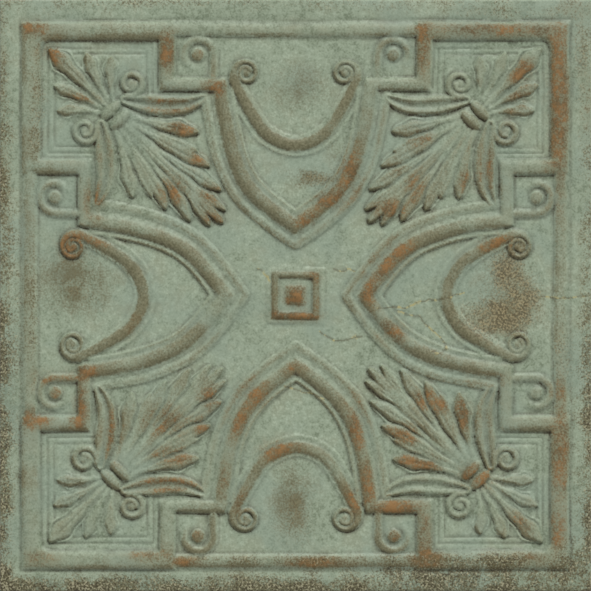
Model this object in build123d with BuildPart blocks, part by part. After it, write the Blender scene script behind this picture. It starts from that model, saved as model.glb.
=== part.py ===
from build123d import *
import os

# Pressed-tin pattern tile: one fired slab with a moulded face, lying face up.
# Millimetres. The origin is at the centre of the back, with +Z out of the face.

# Slab
TILE_SIDE = 592.0
BODY_THICKNESS = 8.5
ARRIS_RADIUS = 1.5

# Keyed back: shallow grooves with lands between them
KEY_COUNT = 23
KEY_LAND = 8.0
KEY_DEPTH = 0.8
KEY_MARGIN = 18.0

# Every moulding has draft: its flank leans in, then a flatter shoulder meets its crown
ROOT = 1.6
FLANK_SHARE = 0.6
FLANK_TAPER = 28.0
SHOULDER_TAPER = 55.0
BLADE_TAPER = 42.0
SPIRAL_STEP = 30.0

# Frame band round the corner blocks, the steps beside it and the rails between the blocks
EDGE_MARGIN = 22.0
BAND_WIDTH = 19.0
BAND_HEIGHT = 3.6
BLOCK_SIDE = 155.0
STEP_DEPTH = 54.0
STEP_WIDTH = 15.0
RAIL_WIDTH = 14.0
RAIL_HEIGHT = 2.6

# Sunk panel in each corner block, in two shallow steps
PANEL_BORDER = 5.0
PANEL_STEP_WIDTH = 6.0
PANEL_STEP_DEPTH = 0.4

# Pointed arches: a roll on a stepped strip, from the corner steps to an apex near the middle
ARCH_ROLL_WIDTH = 14.0
ARCH_ROLL_HEIGHT = 4.0
ARCH_STRIP_HEIGHT = 0.8
ARCH_STRIP_INSIDE = 11.0
ARCH_STRIP_OUTSIDE = 20.0
ARCH_SPRING_X = 76.0
ARCH_SPRING_LEAN = 4.0
ARCH_HAUNCH = (62.0, 143.0)
ARCH_APEX_Y = 70.0

# C-scrolls inside the arches: they thin out from the foot to the volutes
SCROLL_HEIGHT = 3.4
SCROLL_FOOT_WIDTH = 12.0
SCROLL_HAUNCH_WIDTH = 10.0
SCROLL_STRIP_HEIGHT = 0.8
SCROLL_STRIP_INSIDE = 8.5
SCROLL_STRIP_OUTSIDE = 13.0
SCROLL_FOOT_Y = 152.0
SCROLL_HAUNCH = (48.5, 183.5)
SCROLL_END = (59.5, 219.0)
VOLUTE_RADIUS = 11.0
VOLUTE_INNER_RADIUS = 7.5
VOLUTE_TURN = 330.0
VOLUTE_WIDTH = 5.0
VOLUTE_HEIGHT = 2.6
VOLUTE_EYE_RADIUS = 4.6
VOLUTE_EYE_HEIGHT = 2.8

# Small curls that rise from the corner steps
CURL_RADIUS = 11.5
CURL_INNER_RADIUS = 8.5
CURL_TURN = 300.0
CURL_WIDTH = 5.0
CURL_HEIGHT = 2.2
CURL_EYE_RADIUS = 5.0
CURL_EYE_HEIGHT = 2.4

# Square boss in the middle
BOSS_PLINTH_SIDE = 57.0
BOSS_PLINTH_HEIGHT = 0.8
BOSS_FRAME_SIDE = 49.0
BOSS_FRAME_WIDTH = 8.0
BOSS_FRAME_HEIGHT = 3.2
BOSS_POINT_SIDE = 22.0
BOSS_POINT_HEIGHT = 4.4

# Acanthus spray in each corner block, drawn from its knot with +X along the diagonal to the tile's middle.
# Each blade: where it starts, its tip, width, height. The side blades have twins across the axis.
SPRAY_DISTANCE = 255.0
SPRAY_AXIS_BLADES = [
    ((6, 0), (147, 0), 17.0, 4.4),
    ((-12, 0), (-90, 0), 16.0, 3.8),
]
SPRAY_SIDE_BLADES = [
    ((30, 3), (127, 15), 14.0, 3.8),
    ((12, 4), (98, 28), 15.0, 3.8),
    ((24, 12), (80, 32), 10.0, 3.0),
    ((12, 10), (65, 46), 14.0, 3.6),
    ((-20, 4), (-61, 22), 11.0, 3.0),
    ((-12, 8), (-40, 35), 10.0, 3.0),
]
# Scrolled side leaf of the spray: a crescent from its heel to its tip, and a volute at the heel
LEAF_TIP = (49.0, 72.0)
LEAF_HEEL = (-4.0, 22.0)
LEAF_HEEL_WIDTH = 9.0
LEAF_BOW = 10.0
LEAF_BACK_BOW = 5.0
LEAF_HEIGHT = 3.2
LEAF_VOLUTE_RADIUS = 9.0
LEAF_VOLUTE_INNER_RADIUS = 4.5
LEAF_VOLUTE_TURN = 330.0
LEAF_VOLUTE_LEAD = 20.0
LEAF_VOLUTE_WIDTH = 4.6
LEAF_VOLUTE_HEIGHT = 2.6
KNOT_BEAD_SPACING = 12.0
KNOT_BEAD_LENGTH = 29.0
KNOT_BEAD_WIDTH = 12.0
KNOT_BEAD_HEIGHT = 4.6

GROUND = Plane.XY.offset(BODY_THICKNESS)
ROOT_PLANE = GROUND.offset(-ROOT)
FRAME_LINE = TILE_SIDE / 2 - EDGE_MARGIN - BAND_WIDTH / 2
BLOCK_LINE = TILE_SIDE / 2 - EDGE_MARGIN - BLOCK_SIDE + BAND_WIDTH / 2
STEP_LINE = FRAME_LINE - STEP_DEPTH
STEP_TOP = STEP_LINE + STEP_WIDTH / 2
CORNER_MIRROR = Plane(origin=(0, 0, 0), x_dir=(1, 1, 0), z_dir=(1, -1, 0))
SPRAY_FLOOR = 3 * PANEL_STEP_DEPTH
SPRAY_GROUND = Plane(
    origin=(SPRAY_DISTANCE / 2**0.5, SPRAY_DISTANCE / 2**0.5, BODY_THICKNESS - SPRAY_FLOOR),
    x_dir=(-1, -1, 0),
    z_dir=(0, 0, 1),
)


def across(line):
    """The plane square to a line at its start, with its x axis to the left and its y axis up."""
    return Plane(origin=line @ 0, x_dir=Vector(0, 0, 1).cross(line % 0), z_dir=line % 0)


def roll_outline(width, height, seat=0.0):
    """Upper outline of a roll that sits at a given height: flank, shoulder, crown, shoulder, flank."""
    shoulder = seat + FLANK_SHARE * (height - seat)
    return [
        (-width / 2, seat),
        (-0.36 * width, shoulder),
        (-0.17 * width, height),
        (0.17 * width, height),
        (0.36 * width, shoulder),
        (width / 2, seat),
    ]


def rib_outline(width, height):
    """Upper outline of a narrow rib: flank, crown, flank."""
    return [(-width / 2, 0), (-width / 4, height), (width / 4, height), (width / 2, 0)]


def spiral_points(start, heading, radius, end_radius, turn):
    """Points of a spiral that leaves a start along a heading and closes in, clockwise if turn is negative."""
    hand = 1 if turn > 0 else -1
    inward = heading.normalized().rotate(Axis.Z, 90 * hand)
    centre = start + inward * radius
    steps = round(abs(turn) / SPIRAL_STEP)
    return [
        centre - inward.rotate(Axis.Z, turn * i / steps) * (radius + (end_radius - radius) * i / steps)
        for i in range(steps + 1)
    ]


def rooted_section(line, width, outline):
    """The section of a moulding with its root in the slab, at the start of its line."""
    with BuildSketch(across(line)) as section:
        with BuildLine():
            Polyline((width / 2, -ROOT), (-width / 2, -ROOT), *outline, close=True)
        make_face()
    return section.sketch


def raise_outline(outline, height):
    """Root an outline in the slab and raise it in a steep flank and a flatter shoulder."""
    extrude(outline, amount=-ROOT)
    flank = extrude(outline, amount=FLANK_SHARE * height, taper=FLANK_TAPER)
    extrude(flank.faces().sort_by(Axis.Z)[-1], amount=(1 - FLANK_SHARE) * height, taper=SHOULDER_TAPER)


def raise_eye(start, heading, radius, turn, eye_radius, height):
    """A low button at the middle of a spiral that leaves a start point along a heading."""
    centre = start + heading.normalized().rotate(Axis.Z, 90 if turn > 0 else -90) * radius
    with BuildSketch(GROUND) as eye:
        with Locations((centre.X, centre.Y)):
            RegularPolygon(eye_radius, round(360 / SPIRAL_STEP))
    extrude(eye.sketch, amount=-ROOT)
    extrude(eye.sketch, amount=height, taper=FLANK_TAPER)


def blade_outline(start, tip, width):
    """A chip-cut leaf lobe of the spray: pointed at its start, widest past its middle, blunt at its tip."""
    root_point = SPRAY_GROUND.from_local_coords(Vector(*start))
    reach = SPRAY_GROUND.from_local_coords(Vector(*tip)) - root_point
    with BuildSketch(Plane(origin=root_point, x_dir=reach, z_dir=(0, 0, 1))) as lobe:
        with BuildLine():
            Polyline(
                (0, 0),
                (0.45 * reach.length, -0.36 * width),
                (0.75 * reach.length, -0.5 * width),
                (0.94 * reach.length, -0.32 * width),
                (reach.length, 0),
            )
            mirror(about=Plane.XZ)
        make_face()
    return lobe.sketch


def raise_blade(outline, height):
    """Raise a leaf lobe with sloping sides, from below the panel's floor to a height over the ground."""
    extrude(outline, amount=SPRAY_FLOOR + height, taper=BLADE_TAPER)


# Frame band of one corner block
with BuildPart() as corner_band:
    with BuildLine(GROUND) as band_line:
        Polyline(
            (BLOCK_LINE, STEP_LINE - STEP_WIDTH / 2),
            (BLOCK_LINE, FRAME_LINE),
            (FRAME_LINE, FRAME_LINE),
            (FRAME_LINE, BLOCK_LINE),
            (STEP_LINE - STEP_WIDTH / 2, BLOCK_LINE),
        )
    band_section = rooted_section(band_line.line, BAND_WIDTH, roll_outline(BAND_WIDTH, BAND_HEIGHT))
    sweep(band_section, path=band_line.line, transition=Transition.RIGHT)

# Step from the band to the top arch, with its twin across the corner's diagonal
with BuildPart() as step_bar:
    with BuildLine(GROUND) as step_line:
        Line((BLOCK_LINE, STEP_LINE), (ARCH_SPRING_X, STEP_LINE))
    step_section = rooted_section(step_line.line, STEP_WIDTH, roll_outline(STEP_WIDTH, BAND_HEIGHT))
    sweep(step_section, path=step_line.line)
    mirror(about=CORNER_MIRROR)

# Rail along the middle of one side
with BuildPart() as rail:
    with BuildLine(GROUND) as rail_line:
        Line((-BLOCK_LINE, FRAME_LINE), (BLOCK_LINE, FRAME_LINE))
    rail_section = rooted_section(rail_line.line, RAIL_WIDTH, roll_outline(RAIL_WIDTH, RAIL_HEIGHT))
    sweep(rail_section, path=rail_line.line)

# Pointed arch of one side, made as its right half and mirrored
with BuildPart() as arch:
    with BuildLine(GROUND) as arch_line:
        lean = Vector(0, -1).rotate(Axis.Z, -ARCH_SPRING_LEAN)
        shank = TangentArc((ARCH_SPRING_X, STEP_TOP), ARCH_HAUNCH, tangent=lean)
        shoulder = TangentArc(shank @ 1, (0, ARCH_APEX_Y), tangent=shank % 1)
        Line(shoulder @ 1, shoulder @ 1 + (shoulder % 1) * ARCH_STRIP_OUTSIDE)
    with BuildSketch(across(arch_line.line)):
        with BuildLine():
            ledge = (ARCH_ROLL_WIDTH / 2 + ARCH_STRIP_OUTSIDE) / 2
            Polyline(
                (ARCH_STRIP_OUTSIDE, -ROOT),
                (-ARCH_STRIP_INSIDE, -ROOT),
                (-ARCH_STRIP_INSIDE, ARCH_STRIP_HEIGHT),
                *roll_outline(ARCH_ROLL_WIDTH, ARCH_ROLL_HEIGHT, ARCH_STRIP_HEIGHT),
                (ledge, ARCH_STRIP_HEIGHT),
                (ledge, ARCH_STRIP_HEIGHT / 2),
                (ARCH_STRIP_OUTSIDE, ARCH_STRIP_HEIGHT / 2),
                close=True,
            )
        make_face()
    sweep(path=arch_line.line)
    split(bisect_by=Plane.YZ, keep=Keep.TOP)
    mirror(about=Plane.YZ)

# C-scroll of one side with its volutes, made as its right half and mirrored
with BuildPart() as scroll:
    with BuildLine() as scroll_plan:
        foot = TangentArc((0, SCROLL_FOOT_Y), SCROLL_HAUNCH, tangent=Vector(1, 0))
        stem = TangentArc(foot @ 1, SCROLL_END, tangent=foot % 1)
    strip_line = Pos(0, 0, BODY_THICKNESS) * foot
    with BuildSketch(across(strip_line)):
        with BuildLine():
            Polyline(
                (SCROLL_STRIP_INSIDE, -ROOT),
                (SCROLL_STRIP_INSIDE, SCROLL_STRIP_HEIGHT),
                (-SCROLL_STRIP_OUTSIDE, SCROLL_STRIP_HEIGHT),
                (-SCROLL_STRIP_OUTSIDE, -ROOT),
                close=True,
            )
        make_face()
    sweep(path=strip_line)
    mirror(about=Plane.YZ)
    outward = Vector(0, 0, -1).cross(foot % 1)
    end_outward = Vector(0, 0, -1).cross(stem % 1)
    with BuildSketch(GROUND) as scroll_outline:
        with BuildLine():
            low = TangentArc(
                (0, SCROLL_FOOT_Y - SCROLL_FOOT_WIDTH / 2),
                foot @ 1 + outward * SCROLL_HAUNCH_WIDTH / 2,
                tangent=Vector(1, 0),
            )
            low_stem = TangentArc(low @ 1, stem @ 1 + end_outward * VOLUTE_WIDTH / 2, tangent=low % 1)
            high = TangentArc(
                (0, SCROLL_FOOT_Y + SCROLL_FOOT_WIDTH / 2),
                foot @ 1 - outward * SCROLL_HAUNCH_WIDTH / 2,
                tangent=Vector(1, 0),
            )
            high_stem = TangentArc(high @ 1, stem @ 1 - end_outward * VOLUTE_WIDTH / 2, tangent=high % 1)
            Line(low_stem @ 1, high_stem @ 1)
            mirror(about=Plane.YZ)
        make_face()
    raise_outline(scroll_outline.sketch, SCROLL_HEIGHT)

# Volutes at the two ends of the C-scroll
with BuildPart() as volute:
    with BuildLine(GROUND) as volute_line:
        volute_points = spiral_points(stem @ 1, stem % 1, VOLUTE_RADIUS, VOLUTE_INNER_RADIUS, VOLUTE_TURN)
        Polyline(*[(point.X, point.Y) for point in volute_points])
    volute_outline = rib_outline(VOLUTE_WIDTH, VOLUTE_HEIGHT)
    volute_section = rooted_section(volute_line.line, VOLUTE_WIDTH, volute_outline)
    sweep(volute_section, path=volute_line.line, transition=Transition.RIGHT)
    raise_eye(stem @ 1, stem % 1, VOLUTE_RADIUS, VOLUTE_TURN, VOLUTE_EYE_RADIUS, VOLUTE_EYE_HEIGHT)
    mirror(about=Plane.YZ)

# Curl beside the top arch, with its twin across the corner's diagonal
with BuildPart() as curl:
    curl_x = ARCH_SPRING_X + ARCH_ROLL_WIDTH / 2 + CURL_WIDTH / 2
    curl_top = Vector(curl_x, (STEP_TOP + FRAME_LINE - RAIL_WIDTH / 2) / 2)
    curl_heading = Vector(0, 1)
    with BuildLine(GROUND) as curl_line:
        curl_points = spiral_points(curl_top, curl_heading, CURL_RADIUS, CURL_INNER_RADIUS, -CURL_TURN)
        Polyline((curl_x, STEP_LINE), *[(point.X, point.Y) for point in curl_points])
    curl_outline = rib_outline(CURL_WIDTH, CURL_HEIGHT)
    curl_section = rooted_section(curl_line.line, CURL_WIDTH, curl_outline)
    sweep(curl_section, path=curl_line.line, transition=Transition.RIGHT)
    raise_eye(curl_top, curl_heading, CURL_RADIUS, -CURL_TURN, CURL_EYE_RADIUS, CURL_EYE_HEIGHT)
    mirror(about=CORNER_MIRROR)

# Acanthus spray of one corner: side blades and scrolled leaves with their twins, axis blades, then the knot
with BuildPart() as spray:
    for start, tip, width, height in SPRAY_SIDE_BLADES:
        raise_blade(blade_outline(start, tip, width), height)
    with BuildSketch(SPRAY_GROUND) as leaf_outline:
        with BuildLine():
            front = SagittaArc(LEAF_HEEL, LEAF_TIP, -LEAF_BOW)
            back = SagittaArc(front @ 1, (LEAF_HEEL[0], LEAF_HEEL[1] + LEAF_HEEL_WIDTH), LEAF_BACK_BOW)
            Line(back @ 1, front @ 0)
        make_face()
    raise_blade(leaf_outline.sketch, LEAF_HEIGHT)
    with BuildLine(SPRAY_GROUND) as leaf_volute_line:
        leaf_start = Vector(LEAF_HEEL[0], LEAF_HEEL[1] + LEAF_VOLUTE_WIDTH / 2)
        leaf_heading = Vector(1, 0).rotate(Axis.Z, 180 + LEAF_VOLUTE_LEAD)
        leaf_points = spiral_points(
            leaf_start, leaf_heading, LEAF_VOLUTE_RADIUS, LEAF_VOLUTE_INNER_RADIUS, -LEAF_VOLUTE_TURN
        )
        Polyline(*[(point.X, point.Y) for point in leaf_points])
    leaf_volute_outline = rib_outline(LEAF_VOLUTE_WIDTH, SPRAY_FLOOR + LEAF_VOLUTE_HEIGHT)
    leaf_volute_section = rooted_section(leaf_volute_line.line, LEAF_VOLUTE_WIDTH, leaf_volute_outline)
    sweep(leaf_volute_section, path=leaf_volute_line.line, transition=Transition.RIGHT)
    mirror(about=CORNER_MIRROR)
    for start, tip, width, height in SPRAY_AXIS_BLADES:
        raise_blade(blade_outline(start, tip, width), height)
    for side in (-1, 1):
        bead_x = side * KNOT_BEAD_SPACING / 2
        bead_start = (bead_x, -KNOT_BEAD_LENGTH / 2)
        bead_end = (bead_x, KNOT_BEAD_LENGTH / 2)
        raise_blade(blade_outline(bead_start, bead_end, KNOT_BEAD_WIDTH), KNOT_BEAD_HEIGHT)

# Square boss of the middle: plinth, raised frame and point
with BuildPart() as boss:
    with BuildSketch(ROOT_PLANE):
        Rectangle(BOSS_PLINTH_SIDE, BOSS_PLINTH_SIDE)
    extrude(amount=ROOT + BOSS_PLINTH_HEIGHT)
    with BuildSketch(GROUND):
        Rectangle(BOSS_FRAME_SIDE, BOSS_FRAME_SIDE)
    extrude(amount=BOSS_FRAME_HEIGHT, taper=FLANK_TAPER)
    with BuildSketch(GROUND.offset(BOSS_PLINTH_HEIGHT)):
        Rectangle(BOSS_FRAME_SIDE - 2 * BOSS_FRAME_WIDTH, BOSS_FRAME_SIDE - 2 * BOSS_FRAME_WIDTH)
    extrude(amount=BOSS_FRAME_HEIGHT, taper=-FLANK_TAPER, mode=Mode.SUBTRACT)
    with BuildSketch(GROUND) as point_outline:
        Rectangle(BOSS_POINT_SIDE, BOSS_POINT_SIDE)
    raise_outline(point_outline.sketch, BOSS_POINT_HEIGHT)

# The tile: slab, keyed back, sunk corner panels, then the mouldings of all four sides
with BuildPart() as tile:
    with BuildSketch():
        Rectangle(TILE_SIDE, TILE_SIDE)
    extrude(amount=BODY_THICKNESS)
    fillet(tile.faces().sort_by(Axis.Z)[-1].edges(), radius=ARRIS_RADIUS)
    with BuildSketch():
        key_pitch = (TILE_SIDE - 2 * KEY_MARGIN + KEY_LAND) / KEY_COUNT
        with GridLocations(key_pitch, 0, KEY_COUNT, 1):
            Rectangle(key_pitch - KEY_LAND, TILE_SIDE - 2 * KEY_MARGIN)
    extrude(amount=KEY_DEPTH, mode=Mode.SUBTRACT)
    panel_centre = (FRAME_LINE + BLOCK_LINE) / 2
    for step in (0, 1):
        panel_side = BLOCK_SIDE - 2 * BAND_WIDTH - 2 * PANEL_BORDER - 2 * step * PANEL_STEP_WIDTH
        with BuildSketch(GROUND):
            with GridLocations(2 * panel_centre, 2 * panel_centre, 2, 2):
                Rectangle(panel_side, panel_side)
        extrude(amount=-(step + 1) * PANEL_STEP_DEPTH, mode=Mode.SUBTRACT)
    mouldings = (arch, scroll, volute, rail, curl, step_bar, corner_band, spray)
    with PolarLocations(0, 4):
        add([moulding.part for moulding in mouldings])
    add(boss.part)

tile.part.label = "tile"
os.makedirs("parts", exist_ok=True)
export_step(tile.part, "parts/tile.step")
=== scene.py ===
import math

import bpy
import numpy as np
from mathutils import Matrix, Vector


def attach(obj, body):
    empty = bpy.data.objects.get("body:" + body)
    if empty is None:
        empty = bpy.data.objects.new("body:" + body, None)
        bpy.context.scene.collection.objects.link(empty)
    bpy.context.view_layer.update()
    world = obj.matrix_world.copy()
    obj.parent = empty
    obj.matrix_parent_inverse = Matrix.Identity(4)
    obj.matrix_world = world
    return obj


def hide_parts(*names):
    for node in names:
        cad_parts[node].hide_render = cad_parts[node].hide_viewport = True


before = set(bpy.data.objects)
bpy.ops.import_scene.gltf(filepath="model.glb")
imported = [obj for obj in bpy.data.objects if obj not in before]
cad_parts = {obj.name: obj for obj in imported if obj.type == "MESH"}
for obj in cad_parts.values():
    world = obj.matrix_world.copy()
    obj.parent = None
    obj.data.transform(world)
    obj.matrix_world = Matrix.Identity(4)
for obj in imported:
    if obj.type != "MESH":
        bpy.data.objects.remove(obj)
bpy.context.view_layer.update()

# The slab, in millimetres
TILE_SIDE = 592.0
HALF_SIDE = TILE_SIDE / 2
BODY_THICKNESS = 8.5
TOP_HEIGHT = 13.1
ARRIS_RADIUS = 1.5
FOOT_CHAMFER = 0.6
KEY_COUNT = 23
KEY_LAND = 8.0
KEY_DEPTH = 0.8
KEY_MARGIN = 18.0

# Frame mouldings round the corner blocks
BAND_INNER = 254.0
BAND_OUTER = 275.0
BAND_HEIGHT = 3.6
BAND_CORNER_RADIUS = 9.0
BAR_INNER = 119.5
BAR_OUTER = 137.5
STEP_INNER = 203.0
STEP_OUTER = 218.5
STEP_END = 70.0
RAIL_INNER = 257.5
RAIL_OUTER = 273.0
RAIL_HEIGHT = 2.6
PANEL_NEAR = 142.5
PANEL_FAR = 247.5
PANEL_LINE_GAP = 6.0
PANEL_LINE_DEPTH = 0.85
MARGIN_WIDTH = 9.0
MARGIN_FALL = 0.7
MARGIN_LINE = 20.2
MARGIN_LINE_DEPTH = 0.6

# Pointed arch, from its foot at the step to its point
ARCH_CREST = ((75.5, 209.5), (73.6, 196), (70, 173), (63, 145), (52.7, 120), (38, 100), (17, 82), (-6, 66))
ARCH_ROLL_HALF = 9.6
ARCH_ROLL_HEIGHT = 4.0
ARCH_INSIDE = 13.5
ARCH_OUTSIDE = 21.5
ARCH_STRIP_HEIGHT = 1.4
ARCH_BEAD_HEIGHT = 0.5
ARCH_OUTER_BEAD = 16.5
ARCH_INNER_BEAD = 11.6
ARCH_GROOVE = 11.2
ARCH_GROOVE_DEPTH = 0.7
STRIP_EDGE = 0.8

# Inner scroll, from its foot on the arch's axis to its volute
SCROLL_CREST = (
    (-6, 151), (4, 151.6), (15, 154.6), (26, 160.8), (34.5, 168.2), (45.2, 184.5), (55, 202), (61.5, 216),
)
SCROLL_HEIGHT = 3.0
SCROLL_FOOT_HALF = 7.6
SCROLL_END_HALF = 6.8
SCROLL_STRIP = 4.8
SCROLL_STRIP_HEIGHT = 1.1
SCROLL_GROOVE_DEPTH = 0.4
VOLUTE_CENTRE = (49.2, 222.4)
VOLUTE_RADIUS = 12.8
VOLUTE_INNER = 4.8
VOLUTE_START = -28.0
VOLUTE_TURN = 540.0
VOLUTE_HALF = 3.0
VOLUTE_ROOT_SWELL = 3.2
VOLUTE_HEIGHT = 3.2
VOLUTE_EYE = 5.2
CURL_CENTRE = (97.8, 240.5)
CURL_RADIUS = 15.6
CURL_INNER = 13.4
CURL_START = 180.0
CURL_TURN = 300.0
CURL_HALF = 5.4
CURL_THINNING = 1.2
CURL_HEIGHT = 2.2
CURL_EYE = 7.6
EYE_HEIGHT = 2.4

# Boss at the middle
BOSS_PLINTH_HALF = 28.5
BOSS_PLINTH_HEIGHT = 1.0
BOSS_FRAME_LINE = 20.4
BOSS_FRAME_HALF = 5.0
BOSS_FRAME_HEIGHT = 3.0
BOSS_POINT_HALF = 12.6
BOSS_POINT_HEIGHT = 4.7

# Leaf spray in each corner block, measured from its knot: first towards the tile's middle, then aside
SPRAY_DISTANCE = 255.0
KNOT_SPACING = 6.6
KNOT_HALF_WIDTH = 6.0
KNOT_HALF_LENGTH = 13.5
KNOT_HEIGHT = 4.3
LOBE_CORE = 0.8
LOBE_RIM = 0.45
LOBE_WAVES = 19.0
LOBE_WAVE_DEPTH = 0.13
LOBE_CREASE = 0.28
SIDE_LEAF = ((-4, 17), (8, 25), (30, 42.5), (43, 58), (51, 77))
SIDE_LEAF_HALF = 11.5
SIDE_LEAF_HEIGHT = 3.2
LEAF_VOLUTE_CENTRE = (-10.5, 33.0)
LEAF_VOLUTE_RADIUS = 12.8
LEAF_VOLUTE_INNER = 4.6
LEAF_VOLUTE_START = -60.0
LEAF_VOLUTE_TURN = 470.0
LEAF_VOLUTE_HALF = 4.6
LEAF_VOLUTE_THINNING = 1.4
LEAF_VOLUTE_HEIGHT = 2.8
LEAF_VOLUTE_EYE = 5.0

# Lobes of the spray: root, tip, bow aside, width and height
SPRAY_LOBES = (
    ((4, 0), (136, 0), 0, 25, 3.4),
    ((84, 0), (152, 0), 0, 15, 4.0),
    ((76, 2), (145, 11), -2, 14, 3.8),
    ((40, 4), (128, 22), -3, 19, 3.6),
    ((10, 5), (103, 31), -4, 21, 3.4),
    ((26, 12), (84, 33), -2, 13, 3.0),
    ((9, 9), (71, 47), -4, 20, 3.4),
    ((-12, 0), (-94, 0), 0, 23, 3.5),
    ((-14, 5), (-65, 23), 3, 17, 3.0),
    ((-12, 9), (-44, 39), 4, 16, 2.9),
)

# Low webs under the lobes: root, tip, width and height
SPRAY_WEBS = (((4, 0), (126, 0), 52, 1.2), ((4, 8), (84, 30), 36, 1.0), ((-6, 0), (-62, 0), 40, 0.6))

# The face is worked out on a square grid, then meshed with triangles that follow its form
CELLS = 1024
HALF_CELLS = CELLS // 2
SPACING = TILE_SIDE / CELLS
FACE_TRIANGLES = 184000
FIRST_LIMIT = 0.12
LIMIT_GROWTH = 1.12
MILLIMETRE = 0.001
TINY = 1e-9

# Unevenness of the mould: sideways drift and shallow dents, with the size of their waves
DRIFT = 1.6
DRIFT_WAVE = 36
DENT_DEPTH = 0.3
DENT_WAVE = 48
SMALL_DENT_DEPTH = 0.14
SMALL_DENT_WAVE = 17

# Groups of faces: the moulded face, four edges numbered from 1, and the back
MOULDED_FACE = 0
BACK = 5

# Layout of the square map, as shares of its side
MAP_FACE = 0.926
MAP_GUTTER = 0.002
MAP_MARGIN = 0.936
MAP_EDGE_PITCH = 0.016
MAP_EDGE_HEIGHT = 0.011
MAP_BACK_WIDTH = 0.06


def smooth(low, high, value):
    """Rises from 0 at low to 1 at high with soft ends."""
    share = np.clip((value - low) / (high - low), 0.0, 1.0)
    return share * share * (3.0 - 2.0 * share)


def roll(off, half, height, fullness=2.0):
    """Section of a rounded moulding by the distance off its crest."""
    share = np.clip(np.abs(off) / np.maximum(half, TINY), 0.0, 1.0)
    return height * (1.0 - share ** fullness)


def ridge(off, half):
    """A soft line, 1 at its middle."""
    return np.exp(-((off / half) ** 2))


def flowing(points, steps=8):
    """A smooth curve through the points."""
    points = np.array(points, float)
    ends = np.vstack([2 * points[0] - points[1], points, 2 * points[-1] - points[-2]])
    share = np.linspace(0.0, 1.0, steps, endpoint=False)[:, None]
    curve = []
    for before, start, end, after in zip(ends, ends[1:], ends[2:], ends[3:]):
        bend = (2 * before - 5 * start + 4 * end - after) * share ** 2
        twist = (3 * start - before - 3 * end + after) * share ** 3
        curve.append(0.5 * (2 * start + (end - before) * share + bend + twist))
    curve.append(points[-1:])
    return np.vstack(curve)


def spiral(centre, start_angle, turn, outer, inner):
    """A curve that winds in round a centre, anticlockwise for a positive turn."""
    share = np.linspace(0.0, 1.0, int(abs(turn) / 12) + 2)
    angle = np.radians(start_angle + turn * share)
    radius = outer + (inner - outer) * share
    return np.column_stack([centre[0] + radius * np.cos(angle), centre[1] + radius * np.sin(angle)])


def beside(curve, across, up):
    """Signed distance of each point off a curve, left of it positive, and its share of the way along."""
    nearest = np.full(across.shape, 1e9)
    off = np.zeros(across.shape)
    share = np.zeros(across.shape)
    lengths = np.hypot(*np.diff(curve, axis=0).T)
    run = np.concatenate([[0.0], np.cumsum(lengths)]) / lengths.sum()
    for place, (start, end) in enumerate(zip(curve, curve[1:])):
        way = end - start
        from_start = across - start[0], up - start[1]
        reach = (from_start[0] * way[0] + from_start[1] * way[1]) / lengths[place] ** 2
        reach = np.clip(reach, 0.0, 1.0)
        gap = np.hypot(from_start[0] - reach * way[0], from_start[1] - reach * way[1])
        closer = gap < nearest
        left = np.sign(way[0] * from_start[1] - way[1] * from_start[0])
        nearest = np.where(closer, gap, nearest)
        off = np.where(closer, gap * np.where(left == 0, 1, left), off)
        share = np.where(closer, run[place] + reach * (run[place + 1] - run[place]), share)
    return off, share


def raise_along(relief, plan, curve, reach, section):
    """Lifts the relief along a curve to the height that the section gives."""
    across, up = plan
    low = curve.min(axis=0) - reach
    high = curve.max(axis=0) + reach
    window = (across > low[0]) & (across < high[0]) & (up > low[1]) & (up < high[1])
    off, share = beside(curve, across[window], up[window])
    relief[window] = np.maximum(relief[window], section(off, share))


def pod(share):
    """Outline of a leaf lobe: a stem that swells like a drop and closes in a blunt tip."""
    closing = np.clip((share - 0.72) / 0.28, 0.0, 1.0)
    return (0.3 + 0.7 * smooth(0.2, 0.75, share)) * (1.0 - closing ** 2.2) ** 0.7


def raise_lobe(relief, plan, root, tip, bow, width, height):
    """One leaf lobe: a bowed pod with a midrib, wavy sides and a fine rim round it."""
    root, tip = np.array(root, float), np.array(tip, float)
    way = tip - root
    middle = (root + tip) / 2 + bow * np.array([-way[1], way[0]]) / np.hypot(*way)
    share = np.linspace(0.0, 1.0, 15)[:, None]
    curve = (1 - share) ** 2 * root + 2 * share * (1 - share) * middle + share ** 2 * tip

    def section(off, share):
        wave = 1.0 + LOBE_WAVE_DEPTH * np.sin(LOBE_WAVES * share + np.sign(off))
        spread = np.abs(off) / (width / 2 * pod(share) * wave + 0.2)
        core = np.clip(1.0 - (spread / LOBE_CORE) ** 3.0, 0.0, 1.0)
        rim = LOBE_RIM * ridge(spread - 0.92, 0.1)
        crease = LOBE_CREASE * ridge(off, 0.9) * smooth(1.0, 0.7, share)
        swell = 0.5 + 0.5 * smooth(0.0, 0.6, share)
        return height * swell * (np.maximum(core, rim) - crease * core)

    raise_along(relief, plan, curve, width, section)


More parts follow.
